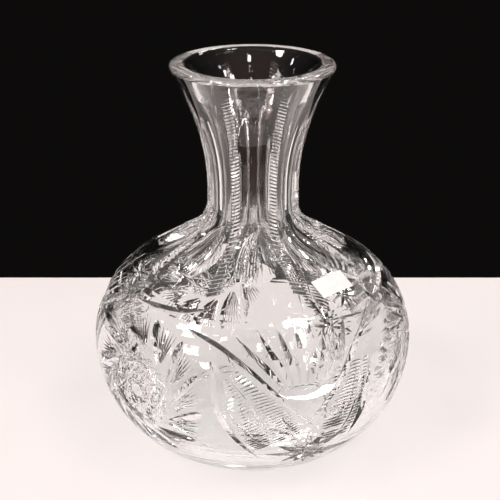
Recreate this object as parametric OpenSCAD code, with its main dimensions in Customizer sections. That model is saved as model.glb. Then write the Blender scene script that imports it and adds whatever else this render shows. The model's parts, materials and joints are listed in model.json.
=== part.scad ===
// Cut glass water carafe, used as a vase: one heavy blown vessel with wheel-cut
// decoration, and the small paper label stuck on its shoulder.
// Millimetres, +Z up, origin at the centre of the face it rests on.
// An azimuth of 0 is the front, towards -Y, and grows towards +X.

/* [Body] */
// Largest radius of the belly
belly_r = 76; // [75:0.5:77]
// Height of the belly's largest radius
belly_z = 50; // [49:0.5:51]
// Profile radius below the belly
lower_arc_r = 56.5; // [56:0.5:58]
// Profile radius above the belly
upper_arc_r = 44.5; // [44:0.5:45.5]
// Slope of the shoulder above the horizontal, in degrees
shoulder_slope = 32; // [31:0.5:33]

/* [Neck] */
// Radius of the neck at its narrowest, over the ridges
neck_r = 22; // [21.5:0.25:23]
// Radius of the hollow curve between shoulder and neck
root_r = 16; // [15:0.5:17]
// Height where the neck starts to flare
flare_z = 127; // [125:0.5:128]
// Profile radius of the flare
flare_arc_r = 104; // [102:1:110]
// Overall height
height = 182; // [180:0.5:183]

/* [Inside] */
// Wall thickness of the body
wall = 6.5; // [6:0.25:7]
// Thickness of the glass under the cavity
floor_t = 9; // [8:0.5:10]
// Inner radius of the neck at its narrowest
bore_r = 14.5; // [13.5:0.25:14.75]
// Inner radius at the lip
mouth_r = 30; // [29:0.25:31]

/* [Cutting] */
// Number of hollow flutes round the neck
flute_count = 8; // [8:8]
// Radius of each flute's hollow
flute_r = 20; // [19:0.5:21]
// Depth of each flute
flute_depth = 2.4; // [2:0.1:2.6]
// Height where the flutes run out under the lip
flute_top_z = 171; // [169:0.5:173]
// Azimuth of the middle of the first flute
flute_turn = 2; // [0:1:10]
// Number of times the body pattern repeats
repeat_count = 3; // [3:3]
// Azimuth of the first body pattern
pattern_turn = 18; // [14:1:20]
// Depth of the long mitre cuts
mitre_depth = 2.2; // [1.5:0.1:2.6]
// Half of the angle between a mitre cut's two sides
mitre_half_angle = 50; // [45:1:55]
// Radius of the hollow under the foot
base_hollow_r = 38; // [36:0.5:39]
// Depth of the hollow under the foot
base_hollow_depth = 1; // [0.6:0.1:1.4]

/* [Label] */
// Length of the label round the shoulder
label_w = 19; // [18:0.5:21]
// Height of the label down the shoulder
label_h = 9.5; // [9:0.25:9.5]
// Thickness of the label paper with its adhesive
label_t = 0.2; // [0.15:0.05:0.3]
// Azimuth of the label's middle
label_turn = 45.5; // [44:0.5:48]
// How far the label is turned in its own plane
label_tilt = -2; // [-6:1:6]
// Height of the label's middle
label_z = 91.25; // [91.25:0.25:92]

/* [Hidden] */
$fn = 96;
// Sides of the circles with long, shallow curves, which need more than the rest
fine_fn = 360;
eps = 0.01;
// How far a mitre's cutter reaches out of the glass, in cuts' depths
cutter_reach = 3;
glass_colour = [0.86, 0.9, 0.92];
label_colour = [0.95, 0.94, 0.9];

// The two long mitres that frame each fan, each from [azimuth, height] to [azimuth, height]
left_mitre = [[0, 43.5], [-42, 80]];
right_mitre = [[-2, 46], [36, 82]];

lower_c = belly_r - lower_arc_r;
upper_c = belly_r - upper_arc_r;
crest_r = upper_c + upper_arc_r * sin(shoulder_slope);
crest_z = belly_z + upper_arc_r * cos(shoulder_slope);
// Where the shoulder's straight slope would meet the neck
corner_z = crest_z + (crest_r - neck_r) * tan(shoulder_slope);
root_tangent = root_r * tan((90 - shoulder_slope) / 2);
root_z = corner_z + root_tangent;
root_c = neck_r + root_r;
root_end_r = root_c - root_r * sin(shoulder_slope);
root_end_z = root_z - root_r * cos(shoulder_slope);
flare_c = neck_r + flare_arc_r;
lip_r = flare_c - sqrt(pow(flare_arc_r, 2) - pow(height - flare_z, 2));

// The inside of the neck follows its own arc, up to the lip
mouth_rise = height - flare_z;
mouth_run = mouth_r - bore_r;
mouth_arc_r = (pow(mouth_rise, 2) + pow(mouth_run, 2)) / (2 * mouth_run);
// Height where the sloping roof of the cavity meets the bore
bore_end_z = 105;

// A flute's hollow runs up an arc that leaves the flare at flute_top_z
flute_floor_r = neck_r - flute_depth;
flute_rise = flute_top_z - flare_z;
flute_run = flare_c - sqrt(pow(flare_arc_r, 2) - pow(flute_rise, 2)) - flute_floor_r;
flute_arc_r = (pow(flute_rise, 2) + pow(flute_run, 2)) / (2 * flute_run);
// Extra sweep that carries a flute's cutter clear of the glass
flute_past_top = 3;
flute_rise_angle = atan(flute_rise / (flute_arc_r - flute_run)) + flute_past_top;
flute_drop_angle = asin((flare_z - root_z) / flute_arc_r);

// Radius of the blank surface at a height on the body
function body_r(z) =
    z < belly_z ? lower_c + sqrt(pow(lower_arc_r, 2) - pow(z - belly_z, 2))
    : z < crest_z ? upper_c + sqrt(pow(upper_arc_r, 2) - pow(z - belly_z, 2))
    : crest_r - (z - crest_z) / tan(shoulder_slope);

// A point at an azimuth and a height, sunk below the blank surface
function on_body(azimuth, z, sunk = 0) =
    let (r = body_r(z) - sunk) [r * sin(azimuth), -r * cos(azimuth), z];

// Centre of the circle through three points
function circle_centre(a, b, c) =
    let (
        u = b - a,
        v = c - a,
        n = cross(u, v)
    ) a + cross(n, u * (v * v) - v * (u * u)) / (2 * (n * n));

module lower_body_outline() {
    intersection() {
        translate([lower_c, belly_z]) circle(lower_arc_r);
        square([belly_r, belly_z]);
    }
}

module upper_body_outline() {
    intersection() {
        translate([upper_c, belly_z]) circle(upper_arc_r);
        translate([0, belly_z]) square([belly_r, crest_z - belly_z]);
    }
    translate([0, belly_z]) square([upper_c, crest_z - belly_z]);
}

module shoulder_outline() {
    polygon([[0, crest_z], [crest_r, crest_z], [root_end_r, root_end_z], [0, root_end_z]]);
}

module root_outline() {
    difference() {
        translate([0, root_end_z]) square([root_end_r, root_z - root_end_z]);
        translate([root_c, root_z]) circle(root_r);
    }
}

module neck_outline() {
    translate([0, root_end_z]) square([neck_r, flare_z - root_end_z]);
    difference() {
        translate([0, flare_z]) square([lip_r, height - flare_z]);
        translate([flare_c, flare_z]) circle(flare_arc_r, $fn = fine_fn);
    }
}

module blank_outline() {
    lower_body_outline();
    upper_body_outline();
    shoulder_outline();
    root_outline();
    neck_outline();
}

// The hollow for the water: body, shoulder and a bore that opens to the mouth
module cavity_outline() {
    inner_lower_r = lower_arc_r - wall;
    inner_upper_r = upper_arc_r - wall;
    inner_crest_r = upper_c + inner_upper_r * sin(shoulder_slope);
    inner_crest_z = belly_z + inner_upper_r * cos(shoulder_slope);
    intersection() {
        translate([lower_c, belly_z]) circle(inner_lower_r);
        translate([0, floor_t]) square([belly_r, belly_z - floor_t]);
    }
    intersection() {
        translate([upper_c, belly_z]) circle(inner_upper_r);
        translate([0, belly_z]) square([belly_r, inner_crest_z - belly_z]);
    }
    translate([0, belly_z]) square([upper_c, inner_crest_z - belly_z]);
    polygon([
        [0, inner_crest_z],
        [inner_crest_r, inner_crest_z],
        [bore_r, bore_end_z],
        [bore_r, flare_z],
        [0, flare_z]
    ]);
    difference() {
        translate([0, flare_z]) square([mouth_r, mouth_rise + eps]);
        translate([bore_r + mouth_arc_r, flare_z]) circle(mouth_arc_r, $fn = fine_fn);
    }
}

module blank() {
    difference() {
        rotate_extrude() blank_outline();
        rotate_extrude() cavity_outline();
    }
}

// One hollow flute: a ring that follows the neck from its root and runs out under the lip
module flute() {
    translate([flute_floor_r + flute_arc_r, 0, flare_z])
        rotate([90, 0, 0])
            rotate([0, 0, 180 - flute_rise_angle])
                rotate_extrude(angle = flute_rise_angle + flute_drop_angle)
                    translate([flute_arc_r - flute_r, 0]) circle(flute_r);
}

// The flute module builds towards +X, a quarter turn round from azimuth 0
module flutes() {
    for (i = [0 : flute_count - 1])
        rotate([0, 0, flute_turn - 90 + i * 360 / flute_count]) flute();
}

// A V groove, side_h high, whose floor follows the circle through three points
module groove(a, b, c, side_h) {
    centre = circle_centre(a, b, c);
    r = norm(a - centre);
    n = cross(b - a, c - a);
    tilt = acos(n[2] / norm(n));
    turn = atan2(n[1], n[0]);
    half_w = side_h * tan(mitre_half_angle);
    translate(centre)
        rotate([0, tilt, turn])
            rotate_extrude()
                polygon([[r, 0], [r + side_h, half_w], [r + side_h, -half_w]]);
}

// A mitre cut that starts and ends on the body's surface and is deepest half way
module mitre(ends) {
    middle = (ends[0] + ends[1]) / 2;
    groove(
        on_body(ends[0][0], ends[0][1]),
        on_body(middle[0], middle[1], mitre_depth),
        on_body(ends[1][0], ends[1][1]),
        cutter_reach * mitre_depth
    );
}

// A V of two long mitres in each repeat of the pattern
module mitres() {
    for (i = [0 : repeat_count - 1])
        rotate([0, 0, pattern_turn + i * 360 / repeat_count]) {
            mitre(left_mitre);
            mitre(right_mitre);
        }
}

// The shallow hollow that leaves a ring to rest on
module base_hollow() {
    translate([0, 0, -eps]) cylinder(h = base_hollow_depth + eps, r = base_hollow_r);
}

module glass_vase() {
    color(glass_colour)
        difference() {
            blank();
            flutes();
            mitres();
            base_hollow();
        }
}

// Outline of the shoulder just outside the blank, where the label lies
module label_outline() {
    lift_r = label_t * sin(shoulder_slope);
    lift_z = label_t * cos(shoulder_slope);
    intersection() {
        translate([upper_c, belly_z]) circle(upper_arc_r + label_t);
        translate([upper_c, belly_z]) square([belly_r, crest_z + lift_z - belly_z]);
    }
    polygon([
        [upper_c, crest_z + lift_z],
        [crest_r + lift_r, crest_z + lift_z],
        [root_end_r + lift_r, root_end_z + lift_z],
        [upper_c, root_end_z + lift_z]
    ]);
}

// The label is the piece of that shell inside its own rectangle
module paper_label() {
    color(label_colour)
        intersection() {
            difference() {
                rotate_extrude($fn = fine_fn) label_outline($fn = fine_fn);
                rotate_extrude($fn = fine_fn) blank_outline($fn = fine_fn);
            }
            rotate([0, 0, label_turn])
                translate([0, -body_r(label_z), label_z])
                    rotate([shoulder_slope, 0, 0])
                        rotate([0, 0, label_tilt])
                            translate([-label_w / 2, -label_h / 2, -label_w / 2])
                                cube([label_w, label_h, label_w]);
        }
}

glass_vase();
paper_label();
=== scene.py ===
"""The looks of a cut glass carafe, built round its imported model.

The glass is one lathe-turned blank with hollow flutes, and every mitre, star ray, blade and
notch is a V groove cut out of it, as a cutter's wheel would. Shapes are worked out in
millimetres, and turned into metres when a mesh is made. An azimuth of 0 is the front,
towards -Y, and grows towards +X.
"""

import json
import math

import bmesh
import bpy
import numpy as np
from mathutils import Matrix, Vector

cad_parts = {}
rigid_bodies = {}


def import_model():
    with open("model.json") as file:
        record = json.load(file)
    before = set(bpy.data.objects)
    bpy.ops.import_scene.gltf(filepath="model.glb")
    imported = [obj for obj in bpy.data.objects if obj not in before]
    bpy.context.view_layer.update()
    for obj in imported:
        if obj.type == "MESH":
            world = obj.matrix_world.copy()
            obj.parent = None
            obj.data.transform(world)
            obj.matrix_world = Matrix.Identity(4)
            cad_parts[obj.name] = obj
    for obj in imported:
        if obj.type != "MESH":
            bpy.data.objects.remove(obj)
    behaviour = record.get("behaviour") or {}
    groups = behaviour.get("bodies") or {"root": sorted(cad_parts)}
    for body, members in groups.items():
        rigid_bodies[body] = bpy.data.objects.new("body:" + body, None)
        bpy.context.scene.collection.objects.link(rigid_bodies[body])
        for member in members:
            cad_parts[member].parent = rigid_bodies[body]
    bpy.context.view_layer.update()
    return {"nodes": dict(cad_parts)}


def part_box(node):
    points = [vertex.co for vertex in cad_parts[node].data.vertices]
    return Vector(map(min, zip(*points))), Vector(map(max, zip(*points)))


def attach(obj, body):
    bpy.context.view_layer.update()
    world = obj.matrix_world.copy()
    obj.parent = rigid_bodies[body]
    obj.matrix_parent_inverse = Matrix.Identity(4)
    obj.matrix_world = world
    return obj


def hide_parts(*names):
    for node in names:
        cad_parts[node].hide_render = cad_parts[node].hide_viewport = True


MM = 0.001

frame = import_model()

# ---------------------------------------------------------------- sizes, in millimetres

glass_low, glass_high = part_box("glass_vase")
HEIGHT = (glass_high.z - glass_low.z) / MM
BELLY_R = (glass_high.x - glass_low.x) / 2 / MM

# The outside of the blank; slopes and turns are in degrees
BELLY_Z = 50.0
LOWER_ARC_R = 56.5
UPPER_ARC_R = 44.5
SHOULDER_SLOPE = 32.0
NECK_R = 22.0
ROOT_R = 16.0
FLARE_Z = 127.0
FLARE_ARC_R = 104.0
LIP_OUTER_ROUND = 1.6
LIP_INNER_ROUND = 2.2
FOOT_ROUND = 1.2

# The cavity and the bore
WALL = 6.5
FLOOR_T = 9.0
BORE_R = 14.5
MOUTH_R = 30.0
BORE_END_Z = 105.0
BORE_END_ROUND = 24.0
FLOOR_ROUND = 9.0

# The shallow hollow under the foot
HOLLOW_R = 38.0
HOLLOW_DEPTH = 1.0

# The flutes round the neck, which fade out over a run at each end; half a ridge is in degrees
FLUTES = 8
FLUTE_TURN = 2.0
RIDGE_HALF = 3.0
FLUTE_DEPTH = 2.3
FLUTE_TOP_Z = 171.0
FLUTE_TOP_RUN = 44.0
FLUTE_END_Z = 94.5
FLUTE_END_RUN = 14.0

# How often the belly's pattern repeats, and the usual distance between the profile's points
REPEATS = 3
STEP = 2.4


# ---------------------------------------------------------------- the blank's profile


def arc(centre, radius, start, end, step=STEP):
    """Points along a circular arc between two angles in degrees, both ends included."""
    length = abs(math.radians(end - start)) * radius
    angles = np.radians(np.linspace(start, end, max(2, round(length / step)) + 1))
    return np.column_stack([centre[0] + radius * np.cos(angles), centre[1] + radius * np.sin(angles)])


def line(a, b, step=STEP):
    """Points along a straight stretch, both ends included."""
    count = max(1, round(math.dist(a, b) / step))
    return np.linspace(a, b, count + 1)


def rounded(a, corner, b, radius, step=1.0):
    """The arc that rounds the corner between two straight stretches."""
    corner = np.array(corner, float)
    to_a = (np.array(a) - corner) / math.dist(a, corner)
    to_b = (np.array(b) - corner) / math.dist(b, corner)
    half = math.acos(np.clip(to_a @ to_b, -1, 1)) / 2
    middle = (to_a + to_b) / np.linalg.norm(to_a + to_b)
    centre = corner + middle * radius / math.sin(half)
    start = corner + to_a * radius / math.tan(half) - centre
    end = corner + to_b * radius / math.tan(half) - centre
    start_angle = math.degrees(math.atan2(start[1], start[0]))
    sweep = math.degrees(math.atan2(end[1], end[0])) - start_angle
    sweep = (sweep + 180) % 360 - 180
    return arc(centre, radius, start_angle, start_angle + sweep, step)


def joined(*stretches):
    """One outline from stretches that follow each other, without doubled points."""
    points = np.vstack(stretches)
    apart = np.linalg.norm(np.diff(points, axis=0), axis=1) > 1e-4
    return points[np.concatenate([[True], apart])]


LOWER_C = BELLY_R - LOWER_ARC_R
UPPER_C = BELLY_R - UPPER_ARC_R
SLOPE = math.radians(SHOULDER_SLOPE)
CREST = (UPPER_C + UPPER_ARC_R * math.sin(SLOPE), BELLY_Z + UPPER_ARC_R * math.cos(SLOPE))
CORNER_Z = CREST[1] + (CREST[0] - NECK_R) * math.tan(SLOPE)
ROOT_Z = CORNER_Z + ROOT_R * math.tan((math.pi / 2 - SLOPE) / 2)
ROOT_C = NECK_R + ROOT_R
FLARE_C = NECK_R + FLARE_ARC_R


def under_profile():
    """From the middle of the underside, over the resting ring, to the foot's edge."""
    foot_r = LOWER_C + math.sqrt(LOWER_ARC_R**2 - BELLY_Z**2)
    hollow_edge = (HOLLOW_R, HOLLOW_DEPTH)
    ring_inside = (HOLLOW_R + HOLLOW_DEPTH, 0.0)
    return joined(
        line((0.0, HOLLOW_DEPTH), hollow_edge, step=4.0),
        line(hollow_edge, ring_inside),
        line(ring_inside, (foot_r - FOOT_ROUND, 0.0)),
    )


def outer_profile():
    """From the foot's edge up the belly, shoulder and neck to the outside of the lip."""
    foot_angle = -math.degrees(math.asin((BELLY_Z - FOOT_ROUND / 2) / LOWER_ARC_R))
    lip_z = HEIGHT - LIP_OUTER_ROUND
    lip_reach = FLARE_ARC_R + LIP_OUTER_ROUND
    lip_angle = math.degrees(math.asin((lip_z - FLARE_Z) / lip_reach))
    lip_c = FLARE_C - lip_reach * math.cos(math.radians(lip_angle))
    root_start = (ROOT_C - ROOT_R * math.sin(SLOPE), ROOT_Z - ROOT_R * math.cos(SLOPE))
    return joined(
        arc((LOWER_C, BELLY_Z), LOWER_ARC_R, foot_angle, 0),
        arc((UPPER_C, BELLY_Z), UPPER_ARC_R, 0, 90 - SHOULDER_SLOPE),
        line(CREST, root_start),
        arc((ROOT_C, ROOT_Z), ROOT_R, 270 - SHOULDER_SLOPE, 180, step=1.5),
        line((NECK_R, ROOT_Z), (NECK_R, FLARE_Z)),
        arc((FLARE_C, FLARE_Z), FLARE_ARC_R, 180, 180 - lip_angle, step=2.0),
        arc((lip_c, lip_z), LIP_OUTER_ROUND, -lip_angle, 90, step=0.5),
    )


def inner_profile():
    """From the inside of the lip down the bore and the body's wall to the cavity's floor."""
    rise, run = HEIGHT - FLARE_Z, MOUTH_R - BORE_R
    mouth_arc_r = (rise**2 + run**2) / (2 * run)
    mouth_c = BORE_R + mouth_arc_r
    lip_z = HEIGHT - LIP_INNER_ROUND
    lip_reach = mouth_arc_r - LIP_INNER_ROUND
    lip_angle = math.degrees(math.asin((lip_z - FLARE_Z) / lip_reach))
    lip_c = mouth_c - lip_reach * math.cos(math.radians(lip_angle))
    upper_r, lower_r = UPPER_ARC_R - WALL, LOWER_ARC_R - WALL
    crest = (UPPER_C + upper_r * math.sin(SLOPE), BELLY_Z + upper_r * math.cos(SLOPE))
    floor_reach = lower_r - FLOOR_ROUND
    floor_angle = -math.degrees(math.asin((BELLY_Z - FLOOR_T - FLOOR_ROUND) / floor_reach))
    floor_c = (LOWER_C + floor_reach * math.cos(math.radians(floor_angle)), FLOOR_T + FLOOR_ROUND)
    bore_end = (BORE_R, BORE_END_Z)
    return joined(
        arc((lip_c, lip_z), LIP_INNER_ROUND, 90, 180 - lip_angle, step=0.6),
        arc((mouth_c, FLARE_Z), mouth_arc_r, 180 - lip_angle, 180, step=3.0),
        rounded((BORE_R, FLARE_Z), bore_end, crest, BORE_END_ROUND, step=2.5),
        arc((UPPER_C, BELLY_Z), upper_r, 90 - SHOULDER_SLOPE, 0, step=3.0),
        arc((LOWER_C, BELLY_Z), lower_r, 0, floor_angle, step=3.0),
        arc(floor_c, FLOOR_ROUND, floor_angle, -90, step=2.0),
        line((floor_c[0], FLOOR_T), (0.0, FLOOR_T), step=5.0),
    )


class Blank:
    """The turned blank as a surface: a point and a normal for any azimuth and profile length."""

    def __init__(self):
        under, outer, inner = under_profile(), outer_profile(), inner_profile()
        self.profile = joined(under, outer, inner)
        lengths = np.linalg.norm(np.diff(self.profile, axis=0), axis=1)
        self.length = np.concatenate([[0.0], np.cumsum(lengths)])
        self.outer = slice(len(under), len(under) + len(outer))
        self.outer_length = self.length[self.outer]
        self.outer_z = self.profile[self.outer][:, 1]
        tangents = np.gradient(self.profile, self.length, axis=0)
        tangents /= np.linalg.norm(tangents, axis=1)[:, None]
        self.side = np.column_stack([tangents[:, 1], -tangents[:, 0]])

    def at_height(self, z):
        """The profile length at a height on the outside."""
        return np.interp(z, self.outer_z, self.outer_length)

    def hollow(self, azimuth, length, z):
        """How deep the flutes are below the blank at a place on the outside."""
        pitch = 360 / FLUTES
        across = np.abs((azimuth - FLUTE_TURN + pitch / 2) % pitch - pitch / 2)
        reach = np.clip(across / (pitch / 2 - RIDGE_HALF), 0, 1)
        top = np.clip((FLUTE_TOP_Z - z) / FLUTE_TOP_RUN, 0, 1)
        end = np.clip((z - FLUTE_END_Z) / FLUTE_END_RUN, 0, 1)
        depth = FLUTE_DEPTH * top * (2 - top) * end * (2 - end)
        outside = (length > self.outer_length[0]) & (length < self.outer_length[-1])
        return np.where(outside, np.maximum(depth - FLUTE_DEPTH * reach**2, 0), 0)

    def point(self, azimuth, length):
        """Points on the fluted surface, for arrays of azimuths and profile lengths."""
        radius = np.interp(length, self.length, self.profile[:, 0])
        z = np.interp(length, self.length, self.profile[:, 1])
        side_r = np.interp(length, self.length, self.side[:, 0])
        side_z = np.interp(length, self.length, self.side[:, 1])
        sunk = self.hollow(azimuth, length, z)
        radius = radius - sunk * side_r
        z = z - sunk * side_z
        angle = np.radians(azimuth)
        return np.stack([radius * np.sin(angle), -radius * np.cos(angle), z], axis=-1)

    def normal(self, azimuth, length, reach=0.05):
        """Outward normals at places on the fluted surface."""
        radius = np.maximum(np.interp(length, self.length, self.profile[:, 0]), 1.0)
        turn = np.degrees(reach / radius)
        round_it = self.point(azimuth + turn, length) - self.point(azimuth - turn, length)
        along = self.point(azimuth, length + reach) - self.point(azimuth, length - reach)
        normals = np.cross(round_it, along)
        return normals / np.maximum(np.linalg.norm(normals, axis=-1), 1e-12)[..., None]


blank = Blank()


# ---------------------------------------------------------------- meshes


def new_object(name, points, faces, collection=None):
    """An object made of points and faces, in the scene or in a collection of its own."""
    mesh = bpy.data.meshes.new(name)
    mesh.from_pydata([tuple(p) for p in points], [], faces)
    mesh.update()
    obj = bpy.data.objects.new(name, mesh)
    (collection or bpy.context.scene.collection).objects.link(obj)
    return obj


def column_azimuths():
    """Azimuths of the blank's columns, with a column on every edge of every ridge."""
    pitch, ridge_columns, flute_columns = 360 / FLUTES, 2, 16
    ridge = np.linspace(-RIDGE_HALF, RIDGE_HALF, ridge_columns + 1)[:-1]
    flute = np.linspace(RIDGE_HALF, pitch - RIDGE_HALF, flute_columns + 1)[:-1]
    sector = np.concatenate([ridge, flute]) + FLUTE_TURN + pitch / 2
    return np.concatenate([sector + i * pitch for i in range(FLUTES)])


def blank_mesh():
    """The closed, turned blank: outside, lip and cavity."""
    azimuths = column_azimuths()
    columns = len(azimuths)
    rows = blank.length[1:-1]
    points = blank.point(azimuths[None, :], rows[:, None]).reshape(-1, 3)
    poles = [(0, 0, blank.profile[0, 1]), (0, 0, blank.profile[-1, 1])]
    points = np.vstack([points, poles])
    faces = []
    for row in range(len(rows) - 1):
        for column in range(columns):
            beside = (column + 1) % columns
            here, above = row * columns, (row + 1) * columns
            faces.append((here + column, here + beside, above + beside, above + column))
    under, floor = len(points) - 2, len(points) - 1
    last = (len(rows) - 1) * columns
    for column in range(columns):
        beside = (column + 1) % columns
        faces.append((under, beside, column))
        faces.append((floor, last + column, last + beside))
    return new_object("glass_blank", points, faces)


# ---------------------------------------------------------------- the cutting wheel

cutters = bpy.data.collections.new("cutters")
bpy.context.scene.collection.children.link(cutters)
# How far a cutter stands out of the glass: one that follows the surface, and a straight one
LIFT = 0.6
BAR_LIFT = 0.15
# How far a cut's pointed ends stay out of the glass, so that it runs out
SKIM = 0.04

THIRDS = tuple(i * 360 / REPEATS for i in range(REPEATS))
EIGHTHS = tuple(i * 360 / FLUTES for i in range(FLUTES))


def canoe(t):
    """Depth along a cut that starts and ends in a point."""
    return np.sin(np.pi * t) ** 0.8


def leaf(t):
    """Depth along a pointed cut that is widest in its first third."""
    return np.sin(np.pi * t**0.6) ** 0.9


def blade(t):
    """Depth along a cut with one pointed end and one full end."""
    return np.sin(np.pi / 2 * np.minimum(t * 1.15, 1))


def spread(path, count):
    """Evenly spaced places along a path of [azimuth, profile length] places, with softened bends."""
    path = np.array(path, float)
    radius = np.interp(path[:, 1], blank.length, blank.profile[:, 0])
    turns = np.radians(np.diff(path[:, 0])) * (radius[1:] + radius[:-1]) / 2
    knots = np.concatenate([[0.0], np.cumsum(np.hypot(turns, np.diff(path[:, 1])))])
    places = np.linspace(0, knots[-1], count)
    azimuth, length = (np.interp(places, knots, path[:, i]) for i in (0, 1))
    if len(path) > 2:
        azimuth[1:-1] = (azimuth[:-2] + 2 * azimuth[1:-1] + azimuth[2:]) / 4
        length[1:-1] = (length[:-2] + 2 * length[1:-1] + length[2:]) / 4
    return azimuth, length


def wedge(places, normals, depths, half_angle, lift):
    """The closed wedge, as points and faces, that a V wheel takes out along some places.

    The half angle may be a pair, for a V that leans: the side to the left of the path, seen
    from outside, and the side to its right.
    """
    left, right = half_angle if isinstance(half_angle, tuple) else (half_angle, half_angle)
    across = np.cross(normals, np.gradient(places, axis=0))
    across /= np.linalg.norm(across, axis=1)[:, None]
    depths = depths[:, None]
    floor = places - normals * depths
    rim = places + normals * lift
    left_rim = rim + across * (depths + lift) * math.tan(math.radians(left))
    right_rim = rim - across * (depths + lift) * math.tan(math.radians(right))
    points = np.stack([floor, left_rim, right_rim], axis=1).reshape(-1, 3)
    last = len(points) - 3
    faces = [(2, 1, 0), (last, last + 1, last + 2)]
    for a in range(0, last, 3):
        b = a + 3
        faces += [(a, a + 1, b + 1, b), (a + 1, a + 2, b + 2, b + 1), (a + 2, a, b, b + 2)]
    return points, faces


def wheel_cut(path, depth, half_angle, shape, steps):
    """The wedge of a V cut that follows the surface along a path."""
    azimuth, length = spread(path, steps + 1)
    depths = depth * shape(np.linspace(0, 1, steps + 1)) - SKIM
    normals = blank.normal(azimuth, length)
    return wedge(blank.point(azimuth, length), normals, depths, half_angle, LIFT)


def bar_cut(azimuth, length, reach, slant, depth, half_angle):
    """The wedge of a straight V cut that crosses one place and doesn't follow the surface."""
    middle, normal = blank.point(azimuth, length), blank.normal(azimuth, length)
    turn = math.radians(azimuth)
    aside = np.array([math.cos(turn), math.sin(turn), 0.0])
    along = aside * reach + np.cross(normal, aside) * slant
    places = np.array([middle - along, middle + along])
    return wedge(places, np.array([normal, normal]), np.array([depth, depth]), half_angle, BAR_LIFT)


def chord_cut(start, end, depth, half_angle, lift):
    """The wedge of a V cut that runs straight between two places, under the bulge between them."""
    places = blank.point(*np.transpose([start, end]))
    middle = blank.normal(*np.mean([start, end], axis=0))
    return wedge(places, np.array([middle, middle]), np.array([depth, depth]), half_angle, lift)


def cut(wedges):
    """Sets out one cutter made of wedges that don't touch each other."""
    points, faces, count = [], [], 0
    for wedge_points, wedge_faces in wedges:
        points.append(wedge_points)
        faces += [tuple(index + count for index in face) for face in wedge_faces]
        count += len(wedge_points)
    new_object("cutter", np.vstack(points), faces, cutters)


def turned(path, turn):
    """A path of [azimuth, profile length] places, turned round the axis."""
    return [(azimuth + turn, length) for azimuth, length in path]


def groove(path, depth, half_angle=50, shape=canoe, turns=THIRDS, steps=8):
    """Cuts a V groove along a path of [azimuth, profile length] places, once for each turn."""
    cut([wheel_cut(turned(path, turn), depth, half_angle, shape, steps) for turn in turns])


def on_outside(*places):
    """[azimuth, height] places as [azimuth, profile length]."""
    return [(azimuth, float(blank.at_height(z))) for azimuth, z in places]


class Patch:
    """A flat sheet of millimetres laid on the glass round one place, x to the right and y up."""

    def __init__(self, azimuth, z):
        self.azimuth = azimuth
        self.length = float(blank.at_height(z))

    def place(self, x, y):
        """The [azimuth, profile length] of a place on the sheet."""
        length = self.length + y
        radius = np.interp(length, blank.length, blank.profile[:, 0])
        return (self.azimuth + math.degrees(x / radius), length)

    def polar(self, radius, angle):
        """The same for a place given by its distance and direction from the middle."""
        turn = math.radians(angle)
        return self.place(radius * math.cos(turn), radius * math.sin(turn))


def star(patch, radius, rays, depth, turn=0.0):
    """A star of cuts that cross in its middle."""
    for i in range(rays // 2):
        angle = turn + i * 360 / rays
        ray = [patch.polar(radius, angle), patch.polar(radius, angle + 180)]
        groove(ray, depth, steps=10)


# ---------------------------------------------------------------- the pattern


def notch_ridges():
    """Slanting cuts across every ridge of the neck and shoulder, wider apart lower down.

    They lean one way on every other ridge and the other way between, and fade out under the lip.
    """
    length, high = float(blank.at_height(91.5)), float(blank.at_height(FLUTE_TOP_Z + 4))
    root = float(blank.at_height(ROOT_Z)) - 10
    half_angle, lean, fade = 46, 0.5, 16
    rows = [[], []]
    while length < high:
        radius = np.interp(length, blank.length, blank.profile[:, 0])
        reach = 1.2 + 0.025 * radius
        pitch = 2.2 if length < root else 1.65
        depth = 0.44 * pitch * min(1.0, (high - length) / fade)
        for i, turn in enumerate(EIGHTHS):
            azimuth = FLUTE_TURN + turn + 180 / FLUTES
            slant = reach * (lean if i % 2 else -lean)
            rows[0].append(bar_cut(azimuth, length, reach * 1.15, slant, depth, half_angle))
        rows.reverse()
        length += pitch
    for row in rows:
        cut(row)


def shoulder_fans():
    """A comet of curved blades in each shoulder panel, over the end of its flute."""
    turns = [FLUTE_TURN + turn for turn in EIGHTHS]
    outermost = np.array([(10.8, 112.5), (-6, 110.3), (-12.8, 107), (-14.2, 102.4), (-14, 96)])
    innermost = np.array([(2.1, 108), (1.8, 105), (1.3, 102), (0.6, 98.6), (0, 95.2)])
    for t in np.linspace(0, 1, 8):
        path = outermost * (1 - t) + innermost * t
        groove(on_outside(*path), depth=0.85, turns=turns, steps=10)
    groove(on_outside((4.5, 109.5), (7.5, 105), (8.5, 100)), depth=0.6, turns=turns, steps=6)
    groove(on_outside((3, 108.5), (4.2, 103), (4.2, 97)), depth=0.6, turns=turns, steps=6)


def pinwheel_ring(patch, ring):
    """The crossed cuts in the middle of the swirling star: three chords from each of its places."""
    chords = 16
    kinds = ((135, 0.42, 70), (90, 0.4, 66), (157.5, 0.34, 60))
    for i in range(chords):
        angle = i * 360 / chords
        for across, depth, half_angle in kinds:
            chord = [patch.polar(ring, angle), patch.polar(ring, angle + across)]
            groove(chord, depth, half_angle, steps=6)


def pinwheel_fan(patch, ring, tip, angle):
    """One fan of the swirling star: a thick swept cut, and thin feathers behind it."""
    sweep = [patch.polar(tip, angle), patch.polar(26, angle - 10), patch.polar(ring, angle - 30)]
    groove(sweep, depth=1.7, half_angle=52, shape=leaf, steps=10)
    feathers, spacing = 6, 3.9
    for k in range(1, feathers + 1):
        feather = [patch.polar(tip, angle - spacing * k), patch.polar(ring + 2, angle - 32)]
        groove(feather, depth=0.6, half_angle=48, shape=blade, steps=6)


def pinwheel():
    """The swirling star on the belly: a ring of crossed cuts with fans whirling round it."""
    patch = Patch(-42.0, 50.0)
    ring, tip, fans, first = 18.5, 34.0, 12, 27
    pinwheel_ring(patch, ring)
    for i in range(fans):
        pinwheel_fan(patch, ring, tip, first + i * 360 / fans)


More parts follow.
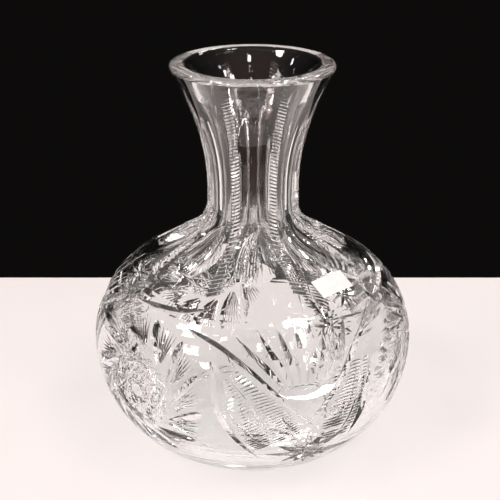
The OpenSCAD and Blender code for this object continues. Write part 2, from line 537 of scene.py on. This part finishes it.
def mitre_v():
    """The V of long mitres, and the shorter ones that carry it round the shoulder."""
    left = on_outside((-26, 81), (-12, 76), (-0.8, 67.6), (8.8, 56.4), (20.5, 41))
    groove(left, depth=2.0, shape=leaf, steps=18)
    right = on_outside((60, 84), (50.2, 80), (38.2, 71.8), (28.2, 57.6), (17, 41))
    groove(right, depth=1.5, half_angle=48, steps=18)
    groove(on_outside((57.5, 82), (67.5, 94)), depth=1.6, half_angle=48)
    groove(on_outside((60, 83), (89, 85.2), (101.3, 87.7)), depth=1.5, steps=12)


def blade_fan():
    """The fan of pointed blades that stands in the V, and the polished crescent at its foot."""
    tips = (
        (-7.1, 81), (1.2, 83), (8.6, 84.6), (16.3, 84.6),
        (23, 84.4), (28.4, 82), (33.4, 83), (39, 83),
    )
    for i, tip in enumerate(tips):
        root = (9.5 + 2.4 * i, 61.2)
        groove(on_outside(tip, root), depth=2.1, half_angle=55, shape=blade)
    ends = on_outside((8, 59.6), (29, 59.2))
    depth, half_angles, lift = 0.3, (15, 74), 2.4
    cut([chord_cut(*turned(ends, turn), depth, half_angles, lift) for turn in THIRDS])


def ladder(ends, starts, rungs, depth):
    """Step cuts from one line to another, evenly spread along both."""
    for i in range(rungs):
        t = (i + 0.5) / rungs
        rung = [place_along(side, t) for side in (ends, starts)]
        groove(on_outside(*rung), depth, half_angle=58, steps=5)


def place_along(side, t):
    """The place at a fraction of a line of evenly spread [azimuth, height] places."""
    knots = np.linspace(0, 1, len(side))
    return tuple(np.interp(t, knots, column) for column in np.transpose(side))


def vanes():
    """The two vanes below the V: mitres at their edges, with step cuts in two rows between."""
    left_edge = [(-14.6, 72), (-12.3, 63), (-11.9, 54), (-9.2, 45.5), (-5, 35), (3, 22)]
    left_spine = [(-8.5, 66), (-1.6, 56), (3.6, 44), (7, 33)]
    groove(on_outside(*left_edge), depth=1.7, half_angle=(70, 52), shape=leaf, steps=18)
    groove(on_outside(*left_spine), depth=0.5, half_angle=46, steps=12)
    ladder([(-10.5, 63), (-8.5, 50), (-5, 38), (-0.5, 28)], left_spine, rungs=26, depth=0.45)
    ladder(left_spine, [(-4, 70), (6, 58.5), (13, 49), (17.5, 39)], rungs=26, depth=0.45)
    right_edge = [(44, 65.5), (42, 58), (40.3, 50), (39, 40), (36, 28)]
    right_spine = [(40.5, 66), (38, 58), (36, 49), (34, 40), (30, 30)]
    right_outside = [(43.5, 66), (41.5, 58), (39.8, 49), (38.3, 40), (35, 30)]
    right_inside = [(35, 66.5), (30.5, 58), (25, 49), (22.5, 40), (23, 31)]
    groove(on_outside(*right_edge), depth=1.4, half_angle=56, steps=12)
    groove(on_outside(*right_spine), depth=0.5, half_angle=46, steps=10)
    ladder(right_spine, right_outside, rungs=24, depth=0.5)
    ladder(right_inside, right_spine, rungs=24, depth=0.5)


def small_stars():
    """The uneven star low on the belly, and the one in its diamond on the shoulder."""
    low = Patch(20, 23.6)
    lines = ((173, 20, 26), (150, 17, 14), (124, 20, 12), (95, 16, 12), (64, 15, 12), (31, 22, 13))
    for angle, one_way, other_way in lines:
        ends = [low.polar(one_way, angle), low.polar(other_way, angle + 178)]
        groove(ends, depth=1.6, half_angle=56, steps=12)
    star(Patch(46.4, 88.2), radius=9.5, rays=12, depth=0.9, turn=15)
    corners = [(30.5, 91), (30.5, 82.5), (51, 80.5)]
    for ends in zip(corners, corners[1:]):
        groove(on_outside(*ends), depth=0.9, half_angle=46)


def cut_pattern():
    """Sets out every cutter of the pattern."""
    notch_ridges()
    shoulder_fans()
    pinwheel()
    mitre_v()
    blade_fan()
    vanes()
    small_stars()


def carve(obj):
    """Takes all the cutters out of the blank at once, and tells the cut faces by their material."""
    for name in ("blank", "cut"):
        obj.data.materials.append(bpy.data.materials.new(name))
    for cutter in cutters.objects:
        for slot in obj.data.materials:
            cutter.data.materials.append(slot)
        cutter.data.polygons.foreach_set("material_index", [1] * len(cutter.data.polygons))
    carving = obj.modifiers.new("carving", "BOOLEAN")
    carving.operation = "DIFFERENCE"
    carving.solver = "MANIFOLD"
    carving.operand_type = "COLLECTION"
    carving.collection = cutters
    bpy.context.view_layer.update()
    depsgraph = bpy.context.evaluated_depsgraph_get()
    result = bpy.data.meshes.new_from_object(obj.evaluated_get(depsgraph))
    obj.modifiers.clear()
    for cutter in list(cutters.objects):
        mesh = cutter.data
        bpy.data.objects.remove(cutter)
        bpy.data.meshes.remove(mesh)
    bpy.data.collections.remove(cutters)
    obj.data = result


def mesh_values(items, name, kind, width=1):
    """One value, or a row of them, for every item of a mesh."""
    values = np.zeros(len(items) * width, kind)
    items.foreach_get(name, values)
    return values if width == 1 else values.reshape(-1, width)


def smooth_blank(mesh):
    """Gives the uncut glass its true turned normals and leaves the cuts' own edges crisp."""
    vertex_of = mesh_values(mesh.loops, "vertex_index", int)
    points = mesh_values(mesh.vertices, "co", float, 3)
    counts = mesh_values(mesh.polygons, "loop_total", int)
    slots = mesh_values(mesh.polygons, "material_index", int)
    centres = mesh_values(mesh.polygons, "center", float, 3)
    face_of = np.repeat(np.arange(len(counts)), counts)
    # A corner takes its normal just inside its own face, so that a ridge's edge stays crisp
    inward = 0.03
    places = points[vertex_of] * (1 - inward) + centres[face_of] * inward
    radius = np.hypot(places[:, 0], places[:, 1])
    length = nearest_length(np.column_stack([radius, places[:, 2]]))
    azimuth = np.degrees(np.arctan2(places[:, 0], -places[:, 1]))
    normals = blank.normal(azimuth, length)
    # A zero normal leaves Blender's own
    normals[slots[face_of] == 1] = 0
    mesh.polygons.foreach_set("use_smooth", [True] * len(mesh.polygons))
    mark_sharp(mesh, slots)
    mesh.normals_split_custom_set(normals)


def nearest_length(flat_places, batch=20000):
    """The profile length nearest to each [radius, height], worked out in batches."""
    starts, ends = blank.profile[:-1], blank.profile[1:]
    run = ends - starts
    size = (run**2).sum(axis=1)
    best = np.zeros(len(flat_places))
    for low in range(0, len(flat_places), batch):
        part = flat_places[low : low + batch]
        t = np.clip(((part[:, None] - starts) * run).sum(axis=2) / size, 0, 1)
        gap = ((starts + run * t[..., None] - part[:, None]) ** 2).sum(axis=2)
        pick = gap.argmin(axis=1)
        rows = np.arange(len(part))
        best[low : low + batch] = blank.length[pick] + t[rows, pick] * np.sqrt(size[pick])
    return best


def mark_sharp(mesh, slots):
    """Marks the edges of every cut, and the sharp folds inside a cut, as sharp."""
    fold = math.radians(22)
    shape = bmesh.new()
    shape.from_mesh(mesh)
    shape.faces.ensure_lookup_table()
    for edge in shape.edges:
        faces = edge.link_faces
        if len(faces) != 2:
            continue
        kinds = {slots[faces[0].index], slots[faces[1].index]}
        if kinds == {0, 1} or (kinds == {1} and edge.calc_face_angle(0) > fold):
            edge.smooth = False
    shape.to_mesh(mesh)
    shape.free()


# ---------------------------------------------------------------- materials


def new_material(name, roughness):
    """A material with its nodes and its shader."""
    material = bpy.data.materials.new(name)
    material.use_nodes = True
    shader = material.node_tree.nodes["Principled BSDF"]
    shader.inputs["Roughness"].default_value = roughness
    return material, shader


def noise(tree, scale, detail):
    """Noise that is laid out in the object's own space."""
    place = tree.nodes.new("ShaderNodeTexCoord")
    texture = tree.nodes.new("ShaderNodeTexNoise")
    texture.inputs["Scale"].default_value = scale
    texture.inputs["Detail"].default_value = detail
    tree.links.new(place.outputs["Object"], texture.inputs["Vector"])
    return texture.outputs["Fac"]


def add_bump(tree, shader, height, strength, distance):
    """Fine relief on a shader, from a height between 0 and 1."""
    bump = tree.nodes.new("ShaderNodeBump")
    bump.inputs["Strength"].default_value = strength
    bump.inputs["Distance"].default_value = distance
    tree.links.new(height, bump.inputs["Height"])
    tree.links.new(bump.outputs["Normal"], shader.inputs["Normal"])


def add_haze(tree, shader):
    """Patches of roughness, where the polish is less than perfect."""
    polish = tree.nodes.new("ShaderNodeMapRange")
    polish.inputs["From Min"].default_value = 0.45
    polish.inputs["From Max"].default_value = 0.8
    polish.inputs["To Min"].default_value = 0.0
    polish.inputs["To Max"].default_value = 0.05
    tree.links.new(noise(tree, scale=400.0, detail=6.0), polish.inputs["Value"])
    tree.links.new(polish.outputs["Result"], shader.inputs["Roughness"])


def let_light_through(tree, shader):
    """Makes the glass clear to shadow and diffuse rays, so that the table is lit through it."""
    light_path = tree.nodes.new("ShaderNodeLightPath")
    straight = tree.nodes.new("ShaderNodeMath")
    straight.operation = "MAXIMUM"
    tree.links.new(light_path.outputs["Is Shadow Ray"], straight.inputs[0])
    tree.links.new(light_path.outputs["Is Diffuse Ray"], straight.inputs[1])
    clear = tree.nodes.new("ShaderNodeBsdfTransparent")
    clear.inputs["Color"].default_value = (0.93, 0.94, 0.94, 1)
    mix = tree.nodes.new("ShaderNodeMixShader")
    tree.links.new(straight.outputs["Value"], mix.inputs["Fac"])
    tree.links.new(shader.outputs["BSDF"], mix.inputs[1])
    tree.links.new(clear.outputs["BSDF"], mix.inputs[2])
    tree.links.new(mix.outputs["Shader"], tree.nodes["Material Output"].inputs["Surface"])


def glass_material():
    """Clear lead glass, polished, with the faint waviness of hand finishing."""
    material, shader = new_material("crystal", roughness=0.0)
    shader.inputs["Base Color"].default_value = (0.985, 0.99, 0.99, 1)
    shader.inputs["Transmission Weight"].default_value = 1.0
    shader.inputs["IOR"].default_value = 1.545
    tree = material.node_tree
    add_bump(tree, shader, noise(tree, scale=55.0, detail=2.0), strength=0.05, distance=0.001)
    add_haze(tree, shader)
    let_light_through(tree, shader)
    return material


def paper_material():
    """Matte coated paper with fine fibres and a little handling grime."""
    material, shader = new_material("label_paper", roughness=0.62)
    tree = material.node_tree
    tint = tree.nodes.new("ShaderNodeValToRGB")
    grimy, clean = tint.color_ramp.elements
    grimy.position, grimy.color = 0.3, (0.90, 0.89, 0.87, 1)
    clean.position, clean.color = 0.62, (0.97, 0.965, 0.95, 1)
    tree.links.new(noise(tree, scale=190.0, detail=5.0), tint.inputs["Fac"])
    tree.links.new(tint.outputs["Color"], shader.inputs["Base Color"])
    add_bump(tree, shader, noise(tree, scale=2600.0, detail=8.0), strength=0.35, distance=0.00006)
    return material


def table_material():
    """The plain, pale table top."""
    material, shader = new_material("pale_table", roughness=0.6)
    shader.inputs["Base Color"].default_value = (0.9, 0.86, 0.85, 1)
    return material


# ---------------------------------------------------------------- the pieces


def make_glass():
    """The vessel: its blank, with the whole pattern cut out of it."""
    obj = blank_mesh()
    cut_pattern()
    carve(obj)
    smooth_blank(obj.data)
    obj.data.materials.clear()
    obj.data.materials.append(glass_material())
    obj.data.polygons.foreach_set("material_index", [0] * len(obj.data.polygons))
    obj.name = "cut_glass"
    obj.data.name = "cut_glass"
    obj.data.transform(((MM, 0, 0, 0), (0, MM, 0, 0), (0, 0, MM, 0), (0, 0, 0, 1)))
    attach(obj, "root")
    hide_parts("glass_vase")


def finish_label():
    """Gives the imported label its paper."""
    label = frame["nodes"]["paper_label"]
    label.data.materials.clear()
    label.data.materials.append(paper_material())


# ---------------------------------------------------------------- stage, light and camera


# From here on, lengths are in metres
CEILING_Z = 1.5
PANEL_RADIANCE = 28.0

# The ceiling's lights: x and y in ceiling heights, then width and depth in metres. They stand
# where the glass mirrors them close to the photograph's highlights.
CEILING_PANELS = (
    (-0.78, -0.42, 0.50, 0.50),
    (-1.33, -1.21, 0.60, 0.70),
    (0.45, -0.28, 0.43, 0.22),
    (1.20, -1.10, 0.40, 0.40),
    (-1.55, -2.33, 0.50, 0.50),
    (0.12, -0.90, 0.16, 0.16),
    (1.56, -2.04, 0.90, 0.90),
    (1.39, -0.65, 0.16, 0.16),
    (-1.50, -0.06, 0.16, 0.16),
    (-0.74, 0.60, 0.24, 0.08),
    (0.95, 0.62, 0.35, 0.35),
    (0.20, 1.10, 0.40, 0.30),
)


def make_stage():
    """The table top. Its edges are near, so that the neck's flare mirrors the dark past them."""
    far_edge, near_edge, reach, top_round, thick = 0.165, -0.15, 0.6, 0.004, 0.02
    middle = (0, (far_edge + near_edge) / 2, -thick / 2)
    shape = bmesh.new()
    bmesh.ops.create_cube(shape, size=1.0)
    bmesh.ops.scale(shape, vec=(2 * reach, far_edge - near_edge, thick), verts=shape.verts)
    bmesh.ops.translate(shape, vec=middle, verts=shape.verts)
    edges = list(shape.edges)
    bmesh.ops.bevel(shape, geom=edges, offset=top_round, segments=4, affect="EDGES", profile=0.5)
    mesh = bpy.data.meshes.new("table_top")
    shape.to_mesh(mesh)
    shape.free()
    table = bpy.data.objects.new("table_top", mesh)
    bpy.context.scene.collection.objects.link(table)
    mesh.materials.append(table_material())


def ceiling_panel(x, y, width, depth):
    """A rectangular light in the ceiling. All of them are equally bright to look at."""
    light = bpy.data.lights.new("ceiling_panel", "AREA")
    light.shape = "RECTANGLE"
    light.size = width
    light.size_y = depth
    light.energy = PANEL_RADIANCE * math.pi * width * depth
    light.color = (1.0, 0.95, 0.935)
    lamp = bpy.data.objects.new("ceiling_panel", light)
    bpy.context.scene.collection.objects.link(lamp)
    lamp.location = (x * CEILING_Z, y * CEILING_Z, CEILING_Z)


def make_light():
    """All the ceiling's lights."""
    for panel in CEILING_PANELS:
        ceiling_panel(*panel)


def ramp_node(tree, source, stops, tint):
    """A colour ramp over one value, from one brightness of a tint to another."""
    ramp = tree.nodes.new("ShaderNodeValToRGB")
    ramp.color_ramp.interpolation = "EASE"
    for element, (place, grey) in zip(ramp.color_ramp.elements, stops):
        element.position = place
        element.color = (*(grey * part for part in tint), 1)
    tree.links.new(source, ramp.inputs["Fac"])
    return ramp.outputs["Color"]


def make_world():
    """A dark backdrop behind the table, and a dim, warm room overhead and in front."""
    world = bpy.data.worlds.new("studio")
    bpy.context.scene.world = world
    world.use_nodes = True
    tree = world.node_tree
    where = tree.nodes.new("ShaderNodeTexCoord")
    split = tree.nodes.new("ShaderNodeSeparateXYZ")
    tree.links.new(where.outputs["Generated"], split.inputs["Vector"])
    front = tree.nodes.new("ShaderNodeMath")
    front.operation = "MULTIPLY"
    front.inputs[1].default_value = -1.0
    tree.links.new(split.outputs["Y"], front.inputs[0])
    ceiling = tree.nodes["Background"]
    overhead_stops, overhead_tint = ((0.12, 0.004), (0.75, 0.12)), (1.0, 0.9, 0.87)
    overhead = ramp_node(tree, split.outputs["Z"], overhead_stops, overhead_tint)
    tree.links.new(overhead, ceiling.inputs["Color"])
    room = tree.nodes.new("ShaderNodeBackground")
    ahead_stops, ahead_tint = ((0.1, 0.0), (0.9, 0.17)), (1.0, 0.6, 0.52)
    ahead = ramp_node(tree, front.outputs["Value"], ahead_stops, ahead_tint)
    tree.links.new(ahead, room.inputs["Color"])
    both = tree.nodes.new("ShaderNodeAddShader")
    tree.links.new(ceiling.outputs["Background"], both.inputs[0])
    tree.links.new(room.outputs["Background"], both.inputs[1])
    tree.links.new(both.outputs["Shader"], tree.nodes["World Output"].inputs["Surface"])


def make_camera():
    """The photograph's view, from a little above."""
    distance, elevation, aim_z, aside = 0.473, math.radians(24), 0.092, -0.0012
    camera = bpy.data.cameras.new("camera")
    camera.sensor_width = 36
    camera.lens = 72
    camera.clip_start = 0.01
    obj = bpy.data.objects.new("camera", camera)
    bpy.context.scene.collection.objects.link(obj)
    obj.location = (aside, -distance * math.cos(elevation), aim_z + distance * math.sin(elevation))
    obj.rotation_euler = (math.pi / 2 - elevation, 0, 0)
    bpy.context.scene.camera = obj


def set_look():
    """Plain colours, and enough bounces for light to cross the glass many times."""
    scene = bpy.context.scene
    scene.view_settings.view_transform = "Standard"
    scene.cycles.max_bounces = 32
    scene.cycles.transmission_bounces = 32
    scene.cycles.glossy_bounces = 16
    scene.cycles.transparent_max_bounces = 32


make_glass()
finish_label()
make_stage()
make_light()
make_world()
make_camera()
set_look()
